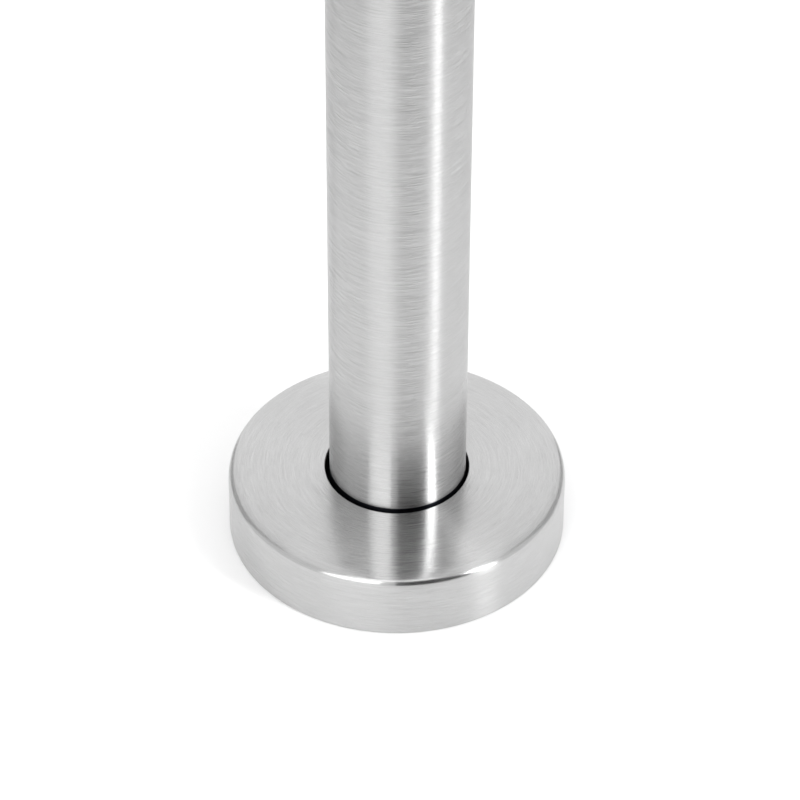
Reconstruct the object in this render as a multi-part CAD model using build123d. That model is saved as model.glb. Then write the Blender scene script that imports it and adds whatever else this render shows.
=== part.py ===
from build123d import *
from math import sqrt
import os

# Glass railing post: a round stainless tube welded into a bolted base flange, with a pressed
# cover over the flange, a domed end cap, and two glass clamps on each side.
# Millimetres, +Z up. The origin is on the tube's axis, at the underside of the flange.
# The glass panels lie in the XZ plane, one on each side of the tube. The jaws face -Y.

os.makedirs("parts", exist_ok=True)

# Tube
post_height = 1000.0        # from the floor to the top of the cap's crown
tube_od = 42.4
tube_wall = 2.0
tube_r = tube_od / 2
bore_r = tube_r - tube_wall
fit_gap = 0.05              # radial gap where one round piece seats on or in another
touch = 0.01                # how near two places count as the same

# Base flange, with the tube welded into its bore
flange_od = 100.0
flange_thickness = 6.0
flange_edge = 0.6           # chamfer round the top edge
anchor_hole = 11.0
anchor_inset = 12.0         # from the flange's rim to each anchor hole's centre
anchor_count = 4
weld_leg = 4.0
weld_swell = 0.35           # how far the bead stands out from a straight fillet

# Cover pressed from sheet, dropped over the flange before the clamps are fitted
cover_height = 22.0
cover_sheet = 1.2
cover_edge = 2.0            # outer radius of the pressed corner
cover_play = 1.3            # radial gap between the flange's rim and the cover's wall
cover_gap = 1.2             # radial gap between the tube and the edge of the cover's hole
cover_hole_break = 0.3      # rounding of the hole's upper edge
cover_shift = -0.25         # the cover lies this far off the tube's axis, along X
cover_r = flange_od / 2 + cover_play + cover_sheet
cover_hole_r = tube_r + cover_gap

# End cap: a turned head on the tube's end and a hollow spigot with three grip ribs
cap_rim = 3.0
cap_crown = 1.5
cap_edge = 0.8              # rounding of the head's upper edge
spigot_length = 15.0
spigot_wall = 2.0
spigot_play = 0.2           # radial gap between spigot and bore
spigot_lead = 0.6           # chamfer at the spigot's lower edge
rib_count = 3
rib_width = 3.0
tube_top = post_height - cap_rim - cap_crown
spigot_r = bore_r - spigot_play

# Glass clamps: D-shaped, a body with its block and back plate, and a loose front jaw
lower_clamp_z = 250.0
upper_clamp_z = 770.0
clamp_height = 45.0
clamp_reach = 52.0          # from the tube's face to the tip of the nose
plate_thickness = 7.5
clamp_edge = 1.2            # rounding of the outer faces' edges
block_depth = 16.0          # from the tube's face to the back of the slot
parting_gap = 0.2           # between the block and the closed jaw
jaw_saddle_gap = 0.3        # between the tube and the jaw, which moves
glass_space = 9.0           # between the pads, for 8.76 mm laminated glass
pad_thickness = 3.0
pad_pocket = 1.0            # how deep each pad is let into its plate
pad_inset = 2.5             # from the clamp's outline to the pad's
pad_setback = 1.0           # from the block to the pad's straight edge
pad_play = 0.1
slot_half = glass_space / 2 + pad_thickness - pad_pocket
block_half = slot_half - parting_gap
clamp_half = slot_half + plate_thickness
block_face = tube_r + block_depth

# Fasteners, all M6
thread_d = 6.0
thread_play = 0.05          # radial gap between a screw and its tapped hole
clearance_hole = 6.6
head_play = 0.5             # radial gap round the cap head in its counterbore
cap_head_d = 10.0
cap_head_height = 6.0
cap_head_sink = 0.4         # how far the cap head lies below the block's face
mount_screw_length = 20.0
cap_socket = 5.0            # across flats
socket_depth = 3.0
flat_head_d = 12.0
flat_head_land = 0.4        # straight rim of the countersunk head
flat_head_sink = 0.2        # how far the flat head lies below the jaw's face
jaw_screw_length = 16.0     # over all, head included
flat_socket = 4.0           # across flats
jaw_screw_inset = 8.5       # from the clamp's top or bottom edge to the screw's axis
screw_tip = 0.6             # chamfer at each screw's end
tap_spare = 2.0             # how far each tapped hole runs past its screw

# Rivet nuts in the tube's wall, set from outside
nut_head_d = 13.0
nut_head = 1.0
nut_shank_d = 9.0
nut_length = 12.5           # from under the head to the inner end
nut_bulb_d = 12.0
nut_bulb = 3.0              # thickness of the upset collar behind the wall
nut_recess_play = 0.5       # room round the nut's head, in the clamp's saddle
nut_recess_spare = 0.2      # room over the nut's head


def ring_edge(piece, radius, z):
    """The circular edges of a turned piece that have this radius and height."""
    circles = piece.edges().filter_by(GeomType.CIRCLE)
    return [e for e in circles if abs(e.radius - radius) < touch and abs(e.arc_center.Z - z) < touch]


def turned(*points):
    """A piece turned round the Z axis from a closed outline of (radius, height) points."""
    return revolve(Plane.XZ * make_face(Polyline(*points, close=True)), Axis.Z)


def tube_shell(inner, outer, height):
    """A shell round the tube's axis, used to give a piece the tube's curve."""
    return Cylinder(outer, height) - Cylinder(inner, height)


def along_x(piece):
    """Turns a piece made along +Z so that it points along +X."""
    return Rot(0, 90, 0) * piece


def along_y(piece, y=0.0):
    """Turns a piece made along +Z so that it points along +Y, with its zero at y."""
    return Pos(0, y, 0) * Rot(-90, 0, 0) * piece


def rod(radius, start, end):
    """A round bar along Z from start to end."""
    return Pos(0, 0, start) * Cylinder(radius, end - start, align=(Align.CENTER, Align.CENTER, Align.MIN))


def post_tube():
    """The tube, with a hole in each side for every clamp's rivet nut."""
    tube = rod(tube_r, 0, tube_top) - rod(bore_r, 0, tube_top)
    hole = along_x(Cylinder(nut_shank_d / 2 + fit_gap, tube_od + tube_wall))
    for z in (lower_clamp_z, upper_clamp_z):
        tube -= Pos(0, 0, z) * hole
    return tube


def base_flange():
    """A round plate with a bore for the tube and a ring of anchor holes."""
    plate = rod(flange_od / 2, 0, flange_thickness)
    plate = chamfer(ring_edge(plate, flange_od / 2, flange_thickness), flange_edge)
    plate -= rod(tube_r + fit_gap, 0, flange_thickness)
    hole = rod(anchor_hole / 2, 0, flange_thickness)
    for place in PolarLocations(flange_od / 2 - anchor_inset, anchor_count):
        plate -= place * hole
    return plate


def base_weld():
    """The fillet weld round the tube, on top of the flange."""
    inner = tube_r + fit_gap
    foot = (inner + weld_leg, flange_thickness)
    root = (inner, flange_thickness)
    head = (inner, flange_thickness + weld_leg)
    bulge = weld_leg / 2 + weld_swell / sqrt(2)
    middle = (inner + bulge, flange_thickness + bulge)
    outline = Line(foot, root) + Line(root, head) + ThreePointArc(head, middle, foot)
    return revolve(Plane.XZ * make_face(outline), Axis.Z)


def base_cover():
    """A round pressed cover, open below, with a hole for the tube."""
    wall = cover_r - cover_sheet
    roof = cover_height - cover_sheet
    cover = turned(
        (cover_hole_r, cover_height), (cover_r, cover_height), (cover_r, 0),
        (wall, 0), (wall, roof), (cover_hole_r, roof),
    )
    cover = fillet(ring_edge(cover, cover_r, cover_height), cover_edge)
    cover = fillet(ring_edge(cover, wall, roof), cover_edge - cover_sheet)
    cover = fillet(ring_edge(cover, cover_hole_r, cover_height), cover_hole_break)
    return Pos(cover_shift, 0, 0) * cover


def top_cap():
    """The domed end cap on the tube."""
    rim = tube_top + cap_rim
    dome_r = (tube_r ** 2 + cap_crown ** 2) / (2 * cap_crown)
    middle = (tube_r / 2, post_height - dome_r + sqrt(dome_r ** 2 - tube_r ** 2 / 4))
    outline = Polyline((0, post_height), (0, tube_top), (tube_r, tube_top), (tube_r, rim))
    outline += ThreePointArc((tube_r, rim), middle, (0, post_height))
    head = revolve(Plane.XZ * make_face(outline), Axis.Z)
    head = fillet(ring_edge(head, tube_r, rim), cap_edge)
    spigot = rod(spigot_r, tube_top - spigot_length, tube_top)
    spigot = chamfer(ring_edge(spigot, spigot_r, tube_top - spigot_length), spigot_lead)
    ribs = rod(bore_r - fit_gap, tube_top - spigot_length, tube_top)
    ribs = chamfer(ring_edge(ribs, bore_r - fit_gap, tube_top - spigot_length), spigot_lead)
    bar = Box(tube_od, rib_width, spigot_length, align=(Align.MIN, Align.CENTER, Align.MAX))
    for place in PolarLocations(0, rib_count):
        spigot += ribs & (place * Pos(0, 0, tube_top) * bar)
    spigot -= rod(spigot_r - spigot_wall, tube_top - spigot_length, tube_top)
    return head + spigot


def rivet_nut():
    """A set rivet nut along +X: head on the tube, shank through its wall, collar behind it."""
    outside = tube_shell(tube_r + fit_gap, tube_r + nut_head, nut_head_d)
    inside = tube_shell(bore_r - nut_bulb, bore_r - fit_gap, nut_bulb_d)
    head = along_x(rod(nut_head_d / 2, 0, tube_od)) & outside
    collar = along_x(rod(nut_bulb_d / 2, 0, tube_od)) & inside
    shank = along_x(rod(nut_shank_d / 2, tube_r - nut_length, tube_r + nut_head / 2))
    bore = along_x(rod(thread_d / 2 + thread_play, 0, tube_od))
    return head + collar + shank - bore


def d_outline(inset, back):
    """The clamp's D outline in X and Z, drawn in by inset, with its straight edge at X = back."""
    half = clamp_height / 2 - inset
    nose = tube_r + clamp_reach - inset
    middle = nose - half
    outline = Pos(middle / 2, 0) * Rectangle(middle, 2 * half) + Pos(middle, 0) * Circle(half)
    return outline & Pos((back + nose) / 2, 0) * Rectangle(nose - back, 2 * half)


def slab(outline, start, end):
    """A flat piece with an outline in X and Z, reaching from Y = start to Y = end."""
    return extrude(Plane.XZ.offset(-start) * outline, start - end)


def clamp_plate(inner, outer):
    """A D-shaped plate from Y = inner to Y = outer. All the outer face's edges are rounded but
    the one at the tube's axis, which the tube's saddle cuts away."""
    plate = slab(d_outline(0, 0), inner, outer)
    face_edges = plate.edges().filter_by_position(Axis.Y, outer - touch, outer + touch)
    return fillet(face_edges.sort_by(Axis.X)[1:], clamp_edge)


def pad_room(face, way):
    """The pocket for a pad, let into a plate's face towards way."""
    outline = d_outline(pad_inset - pad_play, block_face + pad_setback - pad_play)
    return slab(outline, face, face + way * pad_pocket)


def jaw_screw_places():
    """The two screw axes of a clamp, in the middle of the block."""
    reach = clamp_height / 2 - jaw_screw_inset
    return [Pos(tube_r + block_depth / 2, 0, z) for z in (-reach, reach)]


def clamp_body():
    """The block against the tube and the back plate, in one piece."""
    body = clamp_plate(slot_half, clamp_half)
    block = Rectangle(block_face, clamp_height, align=(Align.MIN, Align.CENTER))
    body += slab(block, -block_half, slot_half)
    body -= pad_room(slot_half, 1)
    body -= Cylinder(tube_r + fit_gap, clamp_height)
    recess = Cylinder(tube_r + nut_head + nut_recess_spare, clamp_height)
    body -= recess & along_x(rod(nut_head_d / 2 + nut_recess_play, 0, tube_od))
    body -= along_x(rod(clearance_hole / 2, 0, block_face))
    head_room = rod(cap_head_d / 2 + head_play, block_face - cap_head_height - cap_head_sink, block_face)
    body -= along_x(head_room)
    tip = -clamp_half + flat_head_sink + jaw_screw_length
    tapped = along_y(rod(thread_d / 2 + thread_play, -block_half, tip + tap_spare))
    for place in jaw_screw_places():
        body -= place * tapped
    return body


def clamp_jaw():
    """The front plate, with its two countersunk holes."""
    jaw = clamp_plate(-slot_half, -clamp_half)
    jaw -= pad_room(-slot_half, -1)
    jaw -= Cylinder(tube_r + jaw_saddle_gap, clamp_height)
    hole = rod(thread_d / 2 + thread_play, 0, plate_thickness)
    hole += flat_head(flat_head_d / 2 + thread_play, flat_head_sink + flat_head_land + thread_play)
    for place in jaw_screw_places():
        jaw -= place * along_y(hole, -clamp_half)
    return jaw


def pad(face, way):
    """A rubber pad seated in the pocket of the plate whose face is at Y = face."""
    outline = d_outline(pad_inset, block_face + pad_setback)
    seat = face + way * pad_pocket
    return slab(outline, seat, seat - way * pad_thickness)


def hex_socket(flats, depth, top):
    """A hexagon socket along Z, sunk to depth below top."""
    hexagon = RegularPolygon(flats / 2, 6, major_radius=False)
    return Pos(0, 0, top) * extrude(hexagon, -depth)


def mount_screw():
    """The cap screw from the slot through the block into the rivet nut."""
    seat = block_face - cap_head_sink - cap_head_height
    shank = rod(thread_d / 2, seat - mount_screw_length, seat)
    shank = chamfer(ring_edge(shank, thread_d / 2, seat - mount_screw_length), screw_tip)
    head = rod(cap_head_d / 2, seat, seat + cap_head_height)
    head = fillet(ring_edge(head, cap_head_d / 2, seat + cap_head_height), screw_tip)
    screw = shank + head - hex_socket(cap_socket, socket_depth, seat + cap_head_height)
    return along_x(screw)


def flat_head(radius, land):
    """A 90 degree countersunk head along Z, with its face at zero and its cone pointing up."""
    return turned((0, 0), (radius, 0), (radius, land), (0, land + radius))


def jaw_screw():
    """A flat head screw along +Y through the jaw into the block."""
    shank = rod(thread_d / 2, flat_head_land, jaw_screw_length)
    shank = chamfer(ring_edge(shank, thread_d / 2, jaw_screw_length), screw_tip)
    screw = shank + flat_head(flat_head_d / 2, flat_head_land)
    screw -= hex_socket(flat_socket, socket_depth, socket_depth)
    return along_y(screw, -clamp_half + flat_head_sink)


def fitted(piece, side, height):
    """Puts a clamp piece made on the +X side of the tube on its side and at its height."""
    return Pos(0, 0, height) * Rot(0, 0 if side == "right" else 180, 0) * piece


def write(name, *pieces):
    """Writes one sub-part, whose pieces stay separate solids."""
    export_step(Compound(list(pieces)) if len(pieces) > 1 else pieces[0], f"parts/{name}.step")


clamp_parts = {
    "clamp_body": [clamp_body()],
    "clamp_jaw": [clamp_jaw()],
    "pad_back": [pad(slot_half, 1)],
    "pad_front": [pad(-slot_half, -1)],
    "mount_screw": [mount_screw()],
    "jaw_screws": [place * jaw_screw() for place in jaw_screw_places()],
}
clamp_levels = {"lower": lower_clamp_z, "upper": upper_clamp_z}
clamp_places = [(level, side, z) for level, z in clamp_levels.items() for side in ("left", "right")]

write("post_tube", post_tube())
write("base_flange", base_flange())
write("base_weld", base_weld())
write("base_cover", base_cover())
write("top_cap", top_cap())
write("rivet_nuts", *[fitted(rivet_nut(), side, z) for level, side, z in clamp_places])
for level, side, z in clamp_places:
    for name, pieces in clamp_parts.items():
        write(f"{level}_{side}_{name}", *[fitted(piece, side, z) for piece in pieces])
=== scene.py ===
# Glass railing post: round satin stainless post, pressed base cover, glass clamps and end cap.
import math
import bpy
import numpy as np
from mathutils import Matrix, Vector


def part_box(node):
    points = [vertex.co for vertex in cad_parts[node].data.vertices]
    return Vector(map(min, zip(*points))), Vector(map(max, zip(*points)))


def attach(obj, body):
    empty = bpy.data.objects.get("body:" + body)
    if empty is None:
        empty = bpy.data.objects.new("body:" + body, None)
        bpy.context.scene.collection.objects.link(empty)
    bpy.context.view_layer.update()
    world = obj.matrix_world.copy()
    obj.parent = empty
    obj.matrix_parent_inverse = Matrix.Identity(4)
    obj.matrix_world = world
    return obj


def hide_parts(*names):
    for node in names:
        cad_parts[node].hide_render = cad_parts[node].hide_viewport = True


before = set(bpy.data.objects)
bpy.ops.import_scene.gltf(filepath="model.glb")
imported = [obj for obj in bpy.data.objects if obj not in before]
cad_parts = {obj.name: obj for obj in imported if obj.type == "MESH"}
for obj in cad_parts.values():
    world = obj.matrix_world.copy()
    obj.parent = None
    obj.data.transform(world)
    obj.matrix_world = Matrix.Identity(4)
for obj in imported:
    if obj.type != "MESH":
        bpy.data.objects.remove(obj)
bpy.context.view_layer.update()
mm = 0.001  # in metres
levels = ("lower", "upper")
sides = ("left", "right")
clamps = [f"{level}_{side}" for level in levels for side in sides]
print("frame loaded,", len(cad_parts), "nodes")


def linear(hexColour):  # an sRGB hex colour as linear red, green, blue and alpha
    parts = [int(hexColour[i:i + 2], 16) / 255 for i in (1, 3, 5)]
    return tuple(c / 12.92 if c <= 0.04045 else ((c + 0.055) / 1.055) ** 2.4 for c in parts) + (1.0,)


def addNode(tree, kind, settings=None, links=None, values=None):  # a node with its settings, links and values
    made = tree.nodes.new(kind)
    for name, value in (settings or {}).items():
        setattr(made, name, value)
    for name, value in (values or {}).items():
        made.inputs[name].default_value = value
    for name, source in (links or {}).items():
        tree.links.new(source, made.inputs[name])
    return made


def newMaterial(name, values):  # an empty material with one Principled shader, its tree and the shader
    made = bpy.data.materials.new(name)
    made.use_nodes = True
    tree = made.node_tree
    tree.nodes.clear()
    shader = addNode(tree, "ShaderNodeBsdfPrincipled", values=values)
    addNode(tree, "ShaderNodeOutputMaterial", links={"Surface": shader.outputs["BSDF"]})
    return made, tree, shader


def addRange(tree, source, start, end, smooth=True):  # the first range mapped onto the second
    kind = "SMOOTHSTEP" if smooth else "LINEAR"
    values = {"From Min": start[0], "From Max": start[1], "To Min": end[0], "To Max": end[1]}
    made = addNode(tree, "ShaderNodeMapRange", {"interpolation_type": kind}, {"Value": source}, values)
    return made.outputs["Result"]


def addRamp(tree, source, tones):  # a ramp through hex colours, by their places
    made = addNode(tree, "ShaderNodeValToRGB", links={"Fac": source})
    stops = made.color_ramp.elements
    stops.remove(stops[1])
    for at, colour in tones.items():
        stop = stops[0] if at == min(tones) else stops.new(at)
        stop.position, stop.color = at, linear(colour)
    return made.outputs["Color"]


# Camera

camera = {
    "place": (0.0, -0.9056, 0.8340),  # metres
    "yaw": 0.04,                      # degrees, to the right of +Y
    "pitch": 40.937,                  # degrees below the horizon
    "roll": 0.29,                     # degrees
    "focalPixels": 3905.9,            # on an image 800 pixels wide
    "imagePixels": 800,
    "sensor": 36.0,                   # millimetres
    "nearest": 0.01,                  # metres, where the view begins
}


def addCamera(c):
    yaw, pitch, roll = (math.radians(c[k]) for k in ("yaw", "pitch", "roll"))
    forward = Vector((math.sin(yaw) * math.cos(pitch), math.cos(yaw) * math.cos(pitch), -math.sin(pitch)))
    level = Vector((math.cos(yaw), -math.sin(yaw), 0))
    upright = level.cross(forward)
    right = math.cos(roll) * level + math.sin(roll) * upright
    up = math.cos(roll) * upright - math.sin(roll) * level
    data = bpy.data.cameras.new("camera")
    data.sensor_width = c["sensor"]
    data.lens = c["focalPixels"] * c["sensor"] / c["imagePixels"]
    data.clip_start = c["nearest"]
    made = bpy.data.objects.new("camera", data)
    made.matrix_world = Matrix((right, up, -forward)).transposed().to_4x4()
    made.location = c["place"]
    bpy.context.scene.collection.objects.link(made)
    bpy.context.scene.camera = made


addCamera(camera)
print("camera set")


# Surfaces

def patch(points, normals=None):
    # A grid of points. It faces the way from row to row crossed with the way from column to column.
    return {"points": points, "normals": normals}


def meshFrom(name, patches, sharpAngle=None):
    # Each patch's grid cells become quads. Corners at the same place become one vertex, which closes seams
    # and poles, and a quad whose corners have met becomes a triangle. Normals belong to the corners.
    corners, normals, start = [], [], 0
    for p in patches:
        rows, columns = p["points"].shape[:2]
        index = start + np.arange(rows * columns).reshape(rows, columns)
        start += rows * columns
        cells = np.stack([index[:-1, :-1], index[1:, :-1], index[1:, 1:], index[:-1, 1:]], -1)
        corners.append(cells.reshape(-1, 4))
        facing = np.zeros((rows * columns, 3)) if p["normals"] is None else p["normals"]
        normals.append(facing.reshape(-1, 3))
    corners, normals = np.concatenate(corners), np.concatenate(normals)
    points = np.concatenate([p["points"].reshape(-1, 3) for p in patches])
    grain = 1e-6  # places nearer than a micrometre are one place
    _, first, merged = np.unique(np.round(points / grain), axis=0, return_index=True, return_inverse=True)
    places = merged.reshape(-1)[corners]
    kept = places != np.roll(places, 1, axis=1)
    count = kept.sum(1)
    quads, triangles = count == 4, count == 3
    faces = places[quads].tolist() + places[triangles][kept[triangles]].reshape(-1, 3).tolist()
    order = np.concatenate([corners[quads].reshape(-1), corners[triangles][kept[triangles]]])
    mesh = bpy.data.meshes.new(name)
    mesh.from_pydata(points[first].tolist(), [], faces)
    mesh.polygons.foreach_set("use_smooth", np.ones(len(faces), bool))
    if sharpAngle is None:
        mesh.normals_split_custom_set(normals[order].tolist())
    else:
        mesh.set_sharp_from_angle(angle=math.radians(sharpAngle))
    mesh.update()
    return mesh


def addPiece(name, patches, body, material, stands=(), sharpAngle=None):
    made = bpy.data.objects.new(name, meshFrom(name, patches, sharpAngle))
    bpy.context.scene.collection.objects.link(made)
    made.data.materials.append(material)
    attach(made, body)
    if stands:
        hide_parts(*stands)


def outline(corners, steps=10):
    # A closed outline of (radius, height, rounding) corners. Each corner is an arc of its rounding, tangent
    # to both sides, and a point's normal is the arc's own radius direction. Returns points and normals.
    places = np.array([c[:2] for c in corners], float)
    rounding = np.array([c[2] for c in corners], float)[:, None, None]
    before = places - np.roll(places, 1, axis=0)
    before /= np.linalg.norm(before, axis=1, keepdims=True)
    after = np.roll(before, -1, axis=0)
    turn = np.arctan2(before[:, 0] * after[:, 1] - before[:, 1] * after[:, 0], (before * after).sum(1))
    side = np.sign(turn)[:, None, None]
    reach = rounding[:, 0] * np.abs(np.tan(turn / 2))[:, None]
    left = np.stack([-before[:, 1], before[:, 0]], -1)
    centre = (places - before * reach)[:, None] + side * rounding * left[:, None]
    angle = turn[:, None] * np.linspace(0, 1, steps + 1)
    out = -left
    normals = np.stack([np.cos(angle) * out[:, :1] - np.sin(angle) * out[:, 1:],
                        np.sin(angle) * out[:, :1] + np.cos(angle) * out[:, 1:]], -1)
    points = (centre + side * rounding * normals).reshape(-1, 2)
    normals = normals.reshape(-1, 2)
    return np.vstack([points, points[:1]]), np.vstack([normals, normals[:1]])


def turnedPatch(points, normals, around, centre=0.0):
    # A point of the outline at radius r and height z goes to (r cos a, r sin a, z) for each angle a, and its
    # normal turns with it.
    angle = np.linspace(0, 2 * np.pi, around + 1)
    angle[-1] = 0  # the last column lies on the first
    across, up = np.cos(angle)[:, None], np.sin(angle)[:, None]
    grid = np.stack([centre + across * points[:, 0], up * points[:, 0],
                     np.broadcast_to(points[:, 1], (around + 1, len(points)))], -1)
    facing = np.stack([across * normals[:, 0], up * normals[:, 0],
                       np.broadcast_to(normals[:, 1], (around + 1, len(points)))], -1)
    return patch(grid, facing)


# Stainless steel, brushed to a satin finish

brushing = {
    "rotation": 0.25,           # a quarter turn, so that light spreads across the scratches
    "flatShare": 0.05,          # of X in the way of the clamps' scratches
    "slopes": (0.4, 0.6),       # between a clamp's flat face and its edge
    "fineDetail": 1.0, "broadDetail": 2.0, "noiseRoughness": 0.6,
    "average": 0.5,             # of a noise
}


def satinSteel(name, finish):
    # Brushing leaves fine scratches along one way. Light spreads widely across them and hardly along them, so
    # the eye sees long soft highlights across the grain. Between scratches the metal stays almost polished,
    # which gives each highlight a crisp edge. The scratches run round the Z axis, or along the clamps.
    made, tree, shader = newMaterial(name, {
        "Metallic": 1.0, "Anisotropic": finish["anisotropy"], "Anisotropic Rotation": brushing["rotation"]})
    place = addNode(tree, "ShaderNodeTexCoord")
    xyz = addNode(tree, "ShaderNodeSeparateXYZ", links={"Vector": place.outputs["Object"]})
    if finish["way"] == "round":
        # Z crossed with the place is the way round the axis. Its length is the radius, and the radius less
        # the height grows steadily across the scratches, over a top and down a wall.
        around = addNode(tree, "ShaderNodeVectorMath", {"operation": "CROSS_PRODUCT"},
                         {1: place.outputs["Object"]}, {0: (0.0, 0.0, 1.0)})
        radius = addNode(tree, "ShaderNodeVectorMath", {"operation": "LENGTH"}, {0: around.outputs["Vector"]})
        across = addNode(tree, "ShaderNodeMath", {"operation": "SUBTRACT"},
                         {0: radius.outputs["Value"], 1: xyz.outputs["Z"]})
        tangent, third = around.outputs["Vector"], across.outputs["Value"]
    else:
        # On the edges the scratches follow the edge, which is the normal crossed with Y, and on the flat
        # faces, where that is nothing, a small share of X takes over. On the edges Z counts as along the
        # scratches.
        rim = addNode(tree, "ShaderNodeVectorMath", {"operation": "CROSS_PRODUCT"},
                      {0: place.outputs["Normal"]}, {1: (0.0, 1.0, 0.0)})
        lengthwise = addNode(tree, "ShaderNodeVectorMath", {"operation": "ADD"}, {0: rim.outputs["Vector"]},
                             {1: (brushing["flatShare"], 0.0, 0.0)})
        steep = addNode(tree, "ShaderNodeVectorMath", {"operation": "LENGTH"}, {0: rim.outputs["Vector"]})
        squeeze = addRange(tree, steep.outputs["Value"], brushing["slopes"],
                           (1.0, finish["pitch"] / finish["length"]))
        height = addNode(tree, "ShaderNodeMath", {"operation": "MULTIPLY"}, {0: xyz.outputs["Z"], 1: squeeze})
        tangent, third = lengthwise.outputs["Vector"], height.outputs["Value"]
    grid = addNode(tree, "ShaderNodeCombineXYZ", links={
        "X": xyz.outputs["X"], "Y": xyz.outputs["Y"], "Z": third})
    tree.links.new(tangent, shader.inputs["Tangent"])

    def scratches(pitch, length, detail):  # noise stretched along the scratches
        crowded = 1 / length if finish["way"] == "round" else 1 / pitch
        sized = addNode(tree, "ShaderNodeVectorMath", {"operation": "MULTIPLY"}, {0: grid.outputs["Vector"]},
                        {1: (1 / length, crowded, 1 / pitch)})
        noise = addNode(tree, "ShaderNodeTexNoise", links={"Vector": sized.outputs["Vector"]}, values={
            "Scale": 1.0, "Detail": detail, "Roughness": brushing["noiseRoughness"]})
        return noise.outputs["Fac"]

    fine = scratches(finish["pitch"], finish["length"], brushing["fineDetail"])
    broad = scratches(finish["bandPitch"], finish["bandLength"], brushing["broadDetail"])
    mixed = addNode(tree, "ShaderNodeMath", {"operation": "MULTIPLY_ADD"}, {0: broad, 2: fine},
                    {1: finish["bands"]})
    middle = brushing["average"] * (1 + finish["bands"]) + finish["polished"]
    rough = addRange(tree, mixed.outputs["Value"], (middle - finish["edge"], middle + finish["edge"]),
                     (finish["polishedRoughness"], finish["scratchRoughness"]))
    tree.links.new(rough, shader.inputs["Roughness"])
    seen = addRamp(tree, broad, finish["tones"])  # groups of scratches differ a little in tone
    if "heatTint" in finish:
        # The foot is painted from a straw heat tint beside the bead to dark blue and near black above it. The
        # straw tint by the bead is the weld's heat tint; the dark upper band is painted shade for the gap
        # under the cover's hole. It stays up to the height that the cover hides, where the belt began. A
        # little noise makes its bands uneven.
        tint = finish["heatTint"]
        wobble = addNode(tree, "ShaderNodeTexNoise", links={"Vector": place.outputs["Object"]},
                         values={"Scale": 1 / tint["cloud"], "Detail": tint["cloudDetail"]})
        uneven = addNode(tree, "ShaderNodeMath", {"operation": "MULTIPLY_ADD"},
                         {0: wobble.outputs["Fac"], 2: xyz.outputs["Z"]}, {1: tint["uneven"]})
        share = addRange(tree, uneven.outputs["Value"], (tint["bottom"], tint["top"]), (0.0, 1.0),
                         smooth=False)
        level = addRange(tree, xyz.outputs["Z"], (tint["top"] - tint["fade"], tint["top"] + tint["fade"]),
                         (0.0, 1.0))
        blend = addNode(tree, "ShaderNodeMix", {"data_type": "RGBA"},
                        # the ramp's dark end is painted shade for the gap between tube and cover
                        {0: level, 6: addRamp(tree, share, tint["oxideAndGapShade"]), 7: seen})
        seen = blend.outputs[2]
    tree.links.new(seen, shader.inputs["Base Color"])
    return made


tubeFinish = {
    "way": "round", "tones": {0.3: "#C1C1C1", 0.7: "#CCCCCC"}, "anisotropy": 1.0,
    "pitch": 0.02 * mm, "length": 8 * mm,      # a 320 grit belt leaves lines a few hundredths apart
    "bandPitch": 0.3 * mm, "bandLength": 8 * mm, "bands": 0.015,  # groups of lines that the eye tells apart
    "polished": -0.02, "edge": 0.08,           # where the share of polished metal ends
    "polishedRoughness": 0.163, "scratchRoughness": 0.396,
}
# The tube's foot: a straw heat tint by the bead that darkens upwards into painted shade, a near black band up
# to the cover's hole that stands in for the shade in the gap.
tintedFinish = dict(tubeFinish, heatTint={
    "oxideAndGapShade": {0: "#B4A68A", 0.25: "#94714E", 0.5: "#54444A", 0.75: "#24262C"},  # by share of the way up
    "bottom": 9 * mm, "top": 22.6 * mm, "fade": 0.25 * mm,
    "cloud": 6 * mm, "cloudDetail": 2.0, "uneven": 4 * mm})
coverFinish = dict(tubeFinish, polished=0.011, polishedRoughness=0.147, scratchRoughness=0.328)
clampFinish = dict(coverFinish, way="straight", polishedRoughness=0.2, scratchRoughness=0.32)
satinTube = satinSteel("stainless_tube_satin", tintedFinish)
satinCap = satinSteel("stainless_cap_satin", tubeFinish)
satinCover = satinSteel("stainless_cover_satin", coverFinish)
satinClamp = satinSteel("stainless_clamp_satin", clampFinish)


# Other finishes, without brushing

noiseSpread = (0.3, 0.7)  # where nearly all values of a noise lie


def grainedSurface(name, finish):
    # Fine grain in the roughness and the relief, and a soft change of tone. Grain and cloud are each a size
    # and a detail.
    made, tree, shader = newMaterial(name, finish["shader"])
    place = addNode(tree, "ShaderNodeTexCoord")
    grain, cloud = [
        addNode(tree, "ShaderNodeTexNoise", links={"Vector": place.outputs["Object"]},
                values={"Scale": 1 / size, "Detail": detail}).outputs["Fac"]
        for size, detail in (finish["grain"], finish["cloud"])]
    bump = addNode(tree, "ShaderNodeBump", links={"Height": grain},
                   values={"Distance": finish["relief"], "Strength": 1.0})
    rough = addRange(tree, grain, noiseSpread, finish["roughness"], smooth=False)
    tree.links.new(addRamp(tree, cloud, finish["tones"]), shader.inputs["Base Color"])
    tree.links.new(rough, shader.inputs["Roughness"])
    tree.links.new(bump.outputs["Normal"], shader.inputs["Normal"])
    return made


# Pickled stainless plate: acid leaves it matt and a little darker than the brushed parts
pickledPlate = grainedSurface("stainless_plate_pickled", {
    "shader": {"Metallic": 1.0}, "grain": (0.5 * mm, 3.0), "cloud": (9 * mm, 2.0), "relief": 0.01 * mm,
    "tones": {0.35: "#A9A8A4", 0.65: "#BDBCB9"}, "roughness": (0.32, 0.46)})
# Weld bead: cast metal with a faint straw tint left by the heat
weldMetal = grainedSurface("stainless_weld_bead", {
    "shader": {"Metallic": 1.0}, "grain": (0.4 * mm, 3.0), "cloud": (4 * mm, 2.0), "relief": 0.01 * mm,
    "tones": {0.35: "#A39C8F", 0.65: "#BDB9B2"}, "roughness": (0.24, 0.38)})
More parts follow.
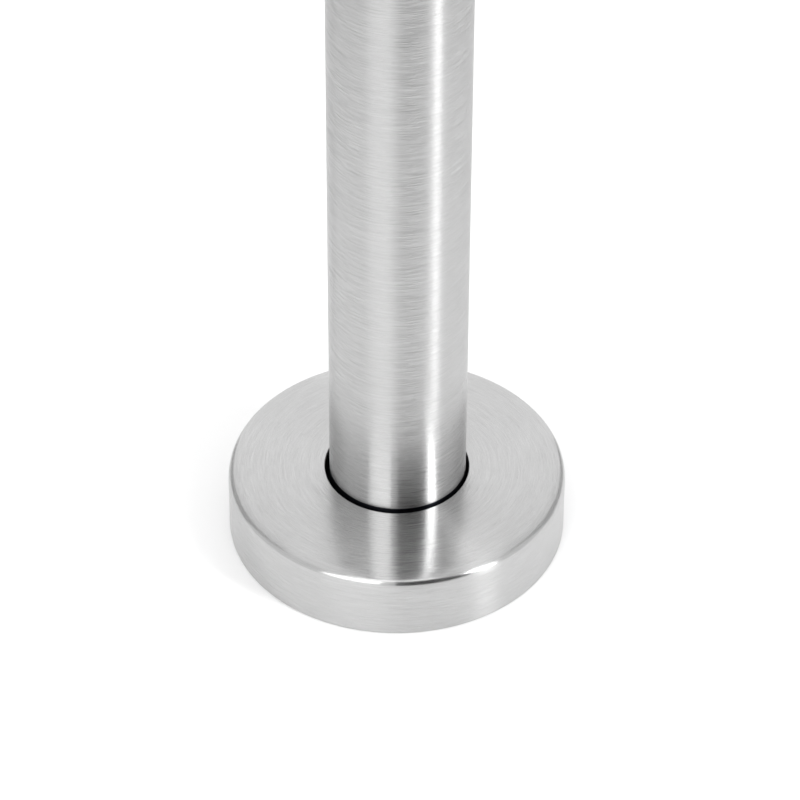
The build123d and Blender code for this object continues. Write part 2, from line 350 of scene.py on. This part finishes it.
# Cold formed screws: smooth and bright, from polished dies
screwSteel = grainedSurface("stainless_screw_bright", {
    "shader": {"Metallic": 1.0}, "grain": (0.3 * mm, 3.0), "cloud": (3 * mm, 2.0), "relief": 0.004 * mm,
    "tones": {0.35: "#BDBCBA", 0.65: "#CCCBC9"}, "roughness": (0.16, 0.28)})
# EPDM rubber: a dull black that greys a little, with the fine grain of its mould
padRubber = grainedSurface("epdm_rubber_moulded", {
    "shader": {"Specular IOR Level": 0.35}, "grain": (0.35 * mm, 3.0), "cloud": (0.35 * mm, 3.0),
    "relief": 0.02 * mm, "tones": {0.3: "#1B1B1C", 0.7: "#29292A"}, "roughness": (0.62, 0.78)})
print("materials made")


# Post tube, with its four holes

tube = {
    "wall": 2.0 * mm,
    "hole": 4.55 * mm,      # radius of each rivet nut's hole
    "window": 6,            # columns each side of a hole's middle that its patch takes in
    "around": 192,
    "rowSpacing": 40 * mm,  # between rows away from the holes
    "circles": 4,           # from a hole's edge out to its window's edge
}


def addTube(t):
    low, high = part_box("post_tube")
    outer = high.x
    inner = outer - t["wall"]
    step = 2 * np.pi / t["around"]
    half = t["window"] * step * outer  # half the height of a patch
    middles = [(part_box(f"{level}_right_mount_screw")[0].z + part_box(f"{level}_right_mount_screw")[1].z) / 2
               for level in levels]
    rows = [np.array([low.z])]

    def addRows(z):  # from the last row up to height z
        last = rows[-1][-1]
        rows.append(np.linspace(last, z, 2 + int((z - last) / t["rowSpacing"]))[1:])

    for z in middles:
        addRows(z - half)
        rows.append(np.linspace(z - half, z + half, 2 * t["window"] + 1)[1:])
    addRows(high.z)
    heights = np.concatenate(rows)

    def onTube(radius, angle, z, face):
        # Points and normals of a round wall, where face is 1 outside and -1 in the bore.
        across, up = np.cos(angle), np.sin(angle)
        points = np.stack(np.broadcast_arrays(radius * across, radius * up, z), -1)
        normals = np.stack(np.broadcast_arrays(face * across, face * up, 0 * z), -1)
        return (points, normals) if face > 0 else (points[::-1], normals[::-1])

    patches = []
    for radius, face in ((outer, 1), (inner, -1)):
        # The wall is a grid of angle and height. The windows round the holes are left out of it.
        columns = np.arange(t["around"] + 1)
        for a, b in zip(heights[:-1], heights[1:]):
            spans = [(0, t["around"])]
            if any(z - half < (a + b) / 2 < z + half for z in middles):
                spans = [(t["window"], t["around"] // 2 - t["window"]),
                         (t["around"] // 2 + t["window"], t["around"] - t["window"])]
            for first, last in spans:
                angle = (columns[first:last + 1] % t["around"] * step)[:, None]
                patches.append(patch(*onTube(radius, angle, np.array([[a, b]]), face)))
        # Round each hole the wall is a ring of spokes, from the drilled hole's edge out to the window's edge.
        n = 2 * t["window"]
        edge = np.linspace(-1, 1, n + 1)[:-1]
        one = np.ones(n)
        across, up = np.concatenate([one, -edge, -one, edge]), np.concatenate([edge, one, -edge, -one])
        square = np.stack([across, up], -1)
        square = np.vstack([square, square[:1]])
        turn = np.arctan2(square[:, 1], square[:, 0])
        drilled = np.stack([np.arcsin(t["hole"] * np.cos(turn) / radius), t["hole"] * np.sin(turn)], -1)
        rim = square * [t["window"] * step, half]
        share = np.linspace(0, 1, t["circles"])[None, :, None]
        spokes = (drilled[:, None] * (1 - share) + rim[:, None] * share)[::-1]
        for z in middles:
            for facing in (0, np.pi):
                patches.append(patch(*onTube(radius, facing + spokes[..., 0], z + spokes[..., 1], face)))
    # A straight drilled wall joins the two edges of each hole.
    turn = np.concatenate([turn[:-1], turn[:1]])
    y, up = t["hole"] * np.cos(turn), t["hole"] * np.sin(turn)
    for z in middles:
        for way in (1, -1):
            wall = [np.stack([way * np.sqrt(r ** 2 - y ** 2), way * y, z + up], -1) for r in (outer, inner)]
            normals = np.stack([0 * y, -way * y, -up], -1) / t["hole"]
            patches.append(patch(np.stack(wall, 1), np.stack([normals, normals], 1)))
    # A flat ring closes the wall at each end.
    angle = (np.arange(t["around"] + 1) % t["around"] * step)[:, None]
    for z, radii, up in ((low.z, (outer, inner), -1), (high.z, (inner, outer), 1)):
        radius = np.array([radii]) + 0 * angle
        points = np.stack([radius * np.cos(angle), radius * np.sin(angle), z + 0 * radius], -1)[::-1]
        patches.append(patch(points, np.zeros_like(points) + [0, 0, up]))
    addPiece("tubeWall", patches, "post", satinTube, ["post_tube"])


addTube(tube)
print("tube done")


# Base cover

cover = {
    "sheet": 1.2 * mm,
    "bends": (              # of the top, from the hole out: in from the rim, down from the top, rounding
        (13.5 * mm, 0.2 * mm, 200 * mm),
        (3.3 * mm, 1.0 * mm, 22 * mm),
        (0.5 * mm, 1.55 * mm, 2 * mm),
        (0.0, 4.0 * mm, 5 * mm),
    ),
    "holeGap": 1.2 * mm,    # from the tube to the hole's edge
    "holeBreak": 0.3 * mm,
    "cut": 0.1 * mm,        # rounding of the cut edges
    "around": 256,
}


def addCover(c):
    # The outer line runs from the hole over the bends to the wall's foot. The inner line lies the sheet's
    # thickness inside it: each bend moves in along the sum of its two sides' normals, divided by one plus
    # their product.
    low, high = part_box("base_cover")
    radius, centre = (high.x - low.x) / 2, (high.x + low.x) / 2
    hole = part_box("post_tube")[1].x + c["holeGap"]
    bends = [(radius - reach, high.z - drop) for reach, drop, rounding in c["bends"]]
    roundings = [rounding for reach, drop, rounding in c["bends"]]
    way = np.diff([(hole, high.z)] + bends + [(radius, low.z)], axis=0)
    way /= np.linalg.norm(way, axis=1, keepdims=True)
    out = np.stack([-way[:, 1], way[:, 0]], -1)
    both = (out[:-1] + out[1:]) / (1 + (out[:-1] * out[1:]).sum(1))[:, None]
    inner = np.array(bends) - c["sheet"] * both
    profile = [(hole, high.z - c["sheet"], c["cut"])]
    profile += [(*place, rounding - c["sheet"]) for place, rounding in zip(inner, roundings)]
    profile += [(radius - c["sheet"], low.z, c["cut"]), (radius, low.z, c["cut"])]
    profile += [(*place, rounding) for place, rounding in zip(bends[::-1], roundings[::-1])]
    profile += [(hole, high.z, c["holeBreak"])]
    shell = turnedPatch(*outline(profile), c["around"], centre)
    addPiece("coverShell", [shell], "cover", satinCover, ["base_cover"])


addCover(cover)
print("cover done")


# Weld bead between tube and flange

weld = {
    "play": 0.05 * mm,      # between the tube and the bead, as between the tube and the flange
    "swell": 0.35 * mm,     # how far the bead stands out from a straight fillet
    "ripple": 1.7 * mm,     # from one ripple to the next
    "depth": 0.16 * mm,     # of the dip between two ripples
    "bow": 0.9,             # how far a ripple's ends trail its middle, in ripples
    "samples": 8,           # columns for each ripple
    "rows": 14,
    "sharp": 60,            # degrees, the least angle of an edge that isn't smoothed
}


def addWeld(w):
    # The fillet is an arc from its toe on the flange (share 0) to its toe on the tube (share 1). A cosine
    # wave runs round it, late by the bow times the square of the distance from the middle, so each ripple
    # is a crescent. The wave dips inwards and dies out at the toes.
    low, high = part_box("base_weld")
    root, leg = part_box("post_tube")[1].x + w["play"], high.z - low.z
    straight = leg / math.sqrt(2)
    radius = (straight ** 2 + w["swell"] ** 2) / (2 * w["swell"])
    half = math.asin(straight / radius)
    share = np.linspace(0, 1, w["rows"] + 1)
    angle = math.pi / 4 + half * (2 * share - 1)
    count = round(2 * math.pi * (root + leg / 2) / w["ripple"])
    around = count * w["samples"]
    turn = np.linspace(0, 2 * np.pi, around + 1)
    wave = 0.5 - 0.5 * np.cos(count * turn[:, None] + 2 * np.pi * w["bow"] * (2 * share - 1) ** 2)
    wave[-1] = wave[0]
    dip = radius - w["depth"] * wave * np.sin(np.pi * share) ** 0.5
    middle = leg / 2 + (w["swell"] - radius) / math.sqrt(2)
    out = root + middle + dip * np.cos(angle)
    up = low.z + middle + dip * np.sin(angle)
    turn[-1] = 0
    corner = np.full((around + 1, 1), root), np.full((around + 1, 1), low.z)
    out = np.hstack([corner[0], out, corner[0]])
    up = np.hstack([corner[1], up, corner[1]])
    grid = np.stack([out * np.cos(turn)[:, None], out * np.sin(turn)[:, None], up], -1)
    addPiece("weldBead", [patch(grid)], "post", weldMetal, ["base_weld"], w["sharp"])


addWeld(weld)
print("weld done")


# Glass pads

pads = {
    "edge": 0.5 * mm,       # rounding of the moulded edges
    "corner": 1.2 * mm,     # rounding of the two corners at the straight edge
    "rib": 2.0 * mm,        # from one grip rib to the next, on the side of the glass
    "groove": 0.35 * mm,    # depth between the ribs
    "border": 1.5 * mm,     # plain edge round the ribs
    "step": 0.3 * mm,       # between columns
    "rows": 20,
    "cornerSteps": 8,
    "edgeSteps": 16,
    "sharp": 50,            # degrees, as for the weld
}


def padPatches(low, high, glassSide, p):
    # A D in X and Z: a straight edge at low.x with rounded corners and a half circle at high.x. The faces
    # are grids whose column x reaches to plus and minus h(x), the half height of the D there. Between them
    # the edge is a half circle swept along the D's outline. On the glass side a cosine wave along X makes
    # upright ribs.
    edge, half = p["edge"], (high.z - low.z) / 2 - p["edge"]
    corner, start, nose = p["corner"] - edge, low.x + edge, high.x - edge
    middle, height = nose - half, (low.z + high.z) / 2
    turnIn = np.radians(np.linspace(0, 90, p["cornerSteps"] + 1))
    sweep = np.radians(np.linspace(0, 90, 1 + int(half * math.pi / 2 / p["step"])))
    straight = np.linspace(start + corner, middle, 1 + int((middle - start - corner) / p["step"]))
    x = np.concatenate([start + corner * (1 - np.cos(turnIn)), straight[1:-1], middle + half * np.sin(sweep)])
    inCorner, inNose = np.minimum(x - start - corner, 0), np.maximum(x - middle, 0)
    reach = np.where(x < middle, half - corner + np.sqrt(corner ** 2 - inCorner ** 2),
                     np.sqrt(np.maximum(half ** 2 - inNose ** 2, 0)))
    reach[-1] = 0
    share = np.sin(np.linspace(-1, 1, p["rows"] + 1) * np.pi / 2)
    across = np.broadcast_to(x[:, None], (len(x), len(share)))
    up = reach[:, None] * share
    fade = np.clip(np.minimum(across - start, reach[:, None] - np.abs(up)) / p["border"], 0, 1)
    wave = 0.5 - 0.5 * np.cos(2 * np.pi * (across - start) / p["rib"])
    groove = p["groove"] * wave * fade ** 2 * (3 - 2 * fade)
    patches = []
    for way, face in ((-1, low.y), (1, high.y)):
        sunk = groove * (way == glassSide)
        points = np.stack([across, face - way * sunk, height + up], -1)
        patches.append(patch(points if way < 0 else points[::-1]))
    # The outline runs along the lower edge to the nose, back along the upper edge and down the straight edge.
    outX = np.concatenate([x, x[-2::-1], np.full(len(share) - 1, x[0])])
    outZ = np.concatenate([-reach, reach[-2::-1], reach[0] * share[-2::-1]])
    awayX = np.where(x < middle, inCorner, inNose)
    awayZ = np.where(x < middle, reach - half + corner, reach)
    away = np.concatenate([np.stack([awayX, -awayZ], -1), np.stack([awayX, awayZ], -1)[-2::-1],
                           np.tile([-1.0, 0.0], (len(share) - 1, 1))])
    away /= np.linalg.norm(away, axis=1, keepdims=True)
    bend = np.radians(np.linspace(-90, 90, p["edgeSteps"] + 1))
    side = np.cos(bend) * edge
    level = np.where(bend < 0, low.y + edge, high.y - edge) + edge * np.sin(bend)
    rim = np.stack([outX[:, None] + away[:, :1] * side, np.broadcast_to(level, (len(outX), len(bend))),
                    height + outZ[:, None] + away[:, 1:] * side], -1)
    patches.append(patch(rim[::-1]))
    return patches


def turned(patches, matrix, place):  # the same patches turned by a matrix and then moved
    for p in patches:
        p["points"] = p["points"] @ np.array(matrix, float).T + place
    return patches


noTurn = np.eye(3)
halfTurn = [[-1, 0, 0], [0, 1, 0], [0, 0, -1]]  # half a turn about Y, from the right side to the left

for clamp in clamps:
    onLeft = "left" in clamp
    for which, glassSide, body in (("back", -1, "post"), ("front", 1, f"{clamp}_jaw")):
        low, high = (Vector(corner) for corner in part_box(f"{clamp}_pad_{which}"))
        if onLeft:
            low.x, high.x = -high.x, -low.x
        place = Vector((0, 0, (low.z + high.z) / 2))
        made = padPatches(low - place, high - place, glassSide, pads)
        made = turned(made, halfTurn if onLeft else noTurn, list(place))
        addPiece(f"{clamp}_{which}Pad", made, body, padRubber, [f"{clamp}_pad_{which}"],
                 pads["sharp"])
print("pads done")


# Screws, all M6

thread = {
    "radius": 3.0 * mm, "pitch": 1.0 * mm, "tip": 0.6 * mm,
    "crest": 0.125, "root": 0.25,              # flat parts of the thread's section, in pitches
    "depth": 0.6134,                           # in pitches
    "samples": 8, "around": 48,                # rows for each pitch and columns round the screw
    "sharp": 30,                               # degrees, as for the weld
}
# In millimetres: the head's corners as (radius, height over the shank), the socket's width across its flats,
# the screw's whole length and the shank's length under the head.
capHead = {
    "head": [(5.0, 0), (5.0, 5.4), (4.82, 5.82), (4.4, 6.0)],
    "socket": 5.0, "length": 26.0, "under": 20.0,
}
flatHead = {
    "head": [(6.0, 3.0), (6.0, 3.36), (5.96, 3.4)],
    "socket": 4.0, "length": 16.0, "under": 12.6,
}
socketDepth = 3.0 * mm


def screwPatches(screw, t):
    # The screw stands on its tip with its face up. The thread's radius is its crest less a trapezium wave of
    # height z less the share of a turn, in pitches, and its rows climb with the turn, so that edges follow
    # the helix. Clamped to the shank's length, the first and last rows are flat rings.
    turn = np.linspace(0, 2 * np.pi, t["around"] + 1)
    under, face = screw["under"] * mm, screw["length"] * mm
    climb = np.arange(-t["samples"], int(under / t["pitch"] * t["samples"]) + 1) * t["pitch"] / t["samples"]
    z = np.clip(climb + turn[:, None] / (2 * np.pi) * t["pitch"], 0, under)
    phase = np.abs((z / t["pitch"] - turn[:, None] / (2 * np.pi)) % 1 - 0.5) * 2  # 1 on a crest, 0 in a root
    flank = np.clip((phase - t["root"]) / (1 - t["root"] - t["crest"]), 0, 1)
    fine = t["radius"] - t["depth"] * t["pitch"] * (1 - flank)
    runOut = np.clip((z - under + t["pitch"]) / t["pitch"], 0, 1)
    fine = fine + (t["radius"] - fine) * runOut
    radius = np.minimum(fine, t["radius"] - t["tip"] + z)
    column = np.ones((t["around"] + 1, 1))
    rows = [(0 * column, 0 * column), (radius, z)]
    rows += [(r * mm * column, (under + h * mm) * column) for r, h in screw["head"]]
    hexagon = screw["socket"] * mm / 2 / np.cos((turn[:, None] % (np.pi / 3)) - np.pi / 6)
    rows += [(hexagon, face * column), (hexagon, (face - socketDepth) * column),
             (0 * column, (face - socketDepth) * column)]
    out, up = np.hstack([r for r, h in rows]), np.hstack([h for r, h in rows])
    turn = np.concatenate([turn[:-1], turn[:1]])[:, None]
    out[-1], up[-1] = out[0], up[0]
    return [patch(np.stack([out * np.cos(turn), out * np.sin(turn), up], -1))]


toRight = [[0, 0, 1], [0, 1, 0], [-1, 0, 0]]   # up becomes +X
toFront = [[1, 0, 0], [0, 0, -1], [0, 1, 0]]   # up becomes -Y

for clamp in clamps:
    onLeft = "left" in clamp
    low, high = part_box(f"{clamp}_mount_screw")
    middle = (low + high) / 2
    made = turned(screwPatches(capHead, thread), toRight, [0, 0, 0])
    made = turned(made, halfTurn if onLeft else noTurn, [high.x if onLeft else low.x, middle.y, middle.z])
    addPiece(f"{clamp}_mountScrew", made, "post", screwSteel, [f"{clamp}_mount_screw"],
             thread["sharp"])
    low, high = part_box(f"{clamp}_jaw_screws")
    radius, made = (high.x - low.x) / 2, []
    for z in (low.z + radius, high.z - radius):
        made += turned(screwPatches(flatHead, thread), toFront, [(low.x + high.x) / 2, high.y, z])
    addPiece(f"{clamp}_jawScrews", made, f"{clamp}_jaw", screwSteel, [f"{clamp}_jaw_screws"],
             thread["sharp"])
print("screws done")


# Materials of the pieces that stay as packed

def dress(node, material):
    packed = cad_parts[node]
    for slot in packed.material_slots:
        slot.material = material


dress("base_flange", pickledPlate)
dress("rivet_nuts", screwSteel)
dress("top_cap", satinCap)
for clamp in clamps:
    dress(f"{clamp}_clamp_body", satinClamp)
    dress(f"{clamp}_clamp_jaw", satinClamp)


# Studio

studio = {
    "sideTone": 0.87, "backTone": 1.17,        # brightness of the room beside and behind the post
    "skylight": 2.8,                           # how much brighter the ceiling is, straight above
    "backRange": (0.0, 0.8),                   # from the side to the back, by the direction's Y
    "skyRange": (0.965, 0.99),                 # from the walls to the ceiling's bright part, by its Z
    "floorTone": "#F3F3F3", "floorLift": 0.03,
    "floorRoughness": 0.9, "floorGloss": 0.1,  # of matt paper
    "floorRadius": 40.0,                       # metres, so that it fills every view
    "floorPoints": 96,                         # on its rim
    "floorDrop": 0.2 * mm,                     # keeps it clear of the post's underside
    "cards": {                                 # azimuths in degrees; (radius, height) of both edges in metres
        "front": {"from": -0.3, "to": 44, "edges": ((1.35, 0.0), (1.35, 3.6)), "tone": "#000000"},
        "left": {"from": -150, "to": -102, "edges": ((1.35, 0.0), (1.35, 2.3)), "tone": "#B0B0B0"},
        "right": {"from": 102, "to": 150, "edges": ((1.35, 0.0), (1.35, 2.3)), "tone": "#B0B0B0"},
        "far": {"from": -180, "to": 180, "edges": ((6.0, 0.001), (0.45, 0.001)), "tone": "#9F9F9F"},
    },
    "cardColumns": 72,
    "lamps": {
        "key": {"azimuth": -28.8, "width": 36.1, "brightness": 2.25, "foot": 0.5, "top": 2.77},
        "strip": {"azimuth": 56.7, "width": 10.3, "brightness": 10.8, "foot": 0.25, "top": 1.69},
    },
    "lampDistance": 1.3,
}


def addLamp(name, lamp, s):
    # An upright soft box that faces the post. Its azimuth counts in degrees from the camera's side.
    width = 2 * s["lampDistance"] * math.tan(math.radians(lamp["width"] / 2))
    data = bpy.data.lights.new(name, "AREA")
    data.shape = "RECTANGLE"
    data.size, data.size_y = width, lamp["top"] - lamp["foot"]
    data.energy = lamp["brightness"] * math.pi * data.size * data.size_y
    made = bpy.data.objects.new(name, data)
    turn = math.radians(lamp["azimuth"])
    made.location = (s["lampDistance"] * math.sin(turn), -s["lampDistance"] * math.cos(turn),
                     (lamp["foot"] + lamp["top"]) / 2)
    made.rotation_euler = (math.pi / 2, 0, turn)
    made.visible_camera = False
    bpy.context.scene.collection.objects.link(made)


def addFloor(s):
    made, tree, shader = newMaterial("paper_floor", {
        "Base Color": linear(s["floorTone"]), "Roughness": s["floorRoughness"],
        "Specular IOR Level": s["floorGloss"], "Emission Color": linear("#FFFFFF")})
    ray = addNode(tree, "ShaderNodeLightPath")
    seen = addNode(tree, "ShaderNodeMath", {"operation": "MAXIMUM"},
                   {0: ray.outputs["Is Camera Ray"], 1: ray.outputs["Is Glossy Ray"]})
    through = addNode(tree, "ShaderNodeMath", {"operation": "MAXIMUM"},
                      {0: seen.outputs[0], 1: ray.outputs["Is Transmission Ray"]})
    lift = addNode(tree, "ShaderNodeMath", {"operation": "MULTIPLY"}, {0: through.outputs[0]},
                   {1: s["floorLift"]})
    tree.links.new(lift.outputs[0], shader.inputs["Emission Strength"])
    turn = np.linspace(0, 2 * np.pi, s["floorPoints"] + 1)[:-1]
    ring = np.stack([np.cos(turn), np.sin(turn), 0 * turn], -1) * s["floorRadius"] - [0, 0, s["floorDrop"]]
    mesh = bpy.data.meshes.new("floor")
    mesh.from_pydata(ring.tolist(), [], [list(range(s["floorPoints"]))])
    mesh.materials.append(made)
    floor = bpy.data.objects.new("floor", mesh)
    bpy.context.scene.collection.objects.link(floor)


def addCard(name, card, count):
    # A card curved round the post that only reflections show. The front one stands for the dim room behind
    # the camera, the side ones for its darker walls and the far one for the floor beyond the white paper.
    turn = np.radians(np.linspace(card["from"], card["to"], count + 1))
    edges = [np.stack([radius * np.sin(turn), -radius * np.cos(turn), height + 0 * turn], -1)
             for radius, height in card["edges"]]
    i = np.arange(count)
    mesh = bpy.data.meshes.new(name)
    mesh.from_pydata(np.concatenate(edges).tolist(), [],
                     np.stack([i, i + 1, i + count + 2, i + count + 1], -1).tolist())
    mesh.materials.append(newMaterial(f"matt_{name}", {
        "Base Color": linear(card["tone"]), "Roughness": 1.0, "Specular IOR Level": 0.0})[0])
    made = bpy.data.objects.new(name, mesh)
    made.visible_camera = made.visible_diffuse = made.visible_shadow = False
    bpy.context.scene.collection.objects.link(made)


def addWorld(s):  # a pale room, brighter behind the post than beside it, and brightest above
    world = bpy.data.worlds.new("studio")
    bpy.context.scene.world = world
    world.use_nodes = True
    tree = world.node_tree
    tree.nodes.clear()
    way = addNode(tree, "ShaderNodeTexCoord")
    xyz = addNode(tree, "ShaderNodeSeparateXYZ", links={"Vector": way.outputs["Generated"]})
    tone = addRange(tree, xyz.outputs["Y"], s["backRange"], (s["sideTone"], s["backTone"]))
    above = addRange(tree, xyz.outputs["Z"], s["skyRange"], (1.0, s["skylight"]))
    light = addNode(tree, "ShaderNodeBackground", links={"Color": tone, "Strength": above})
    addNode(tree, "ShaderNodeOutputWorld", links={"Surface": light.outputs["Background"]})


addWorld(studio)
addFloor(studio)
for name, card in studio["cards"].items():
    addCard(f"card_{name}", card, studio["cardColumns"])
for name, lamp in studio["lamps"].items():
    addLamp(name, lamp, studio)
bpy.context.scene.view_settings.view_transform = "Standard"
print("studio set")
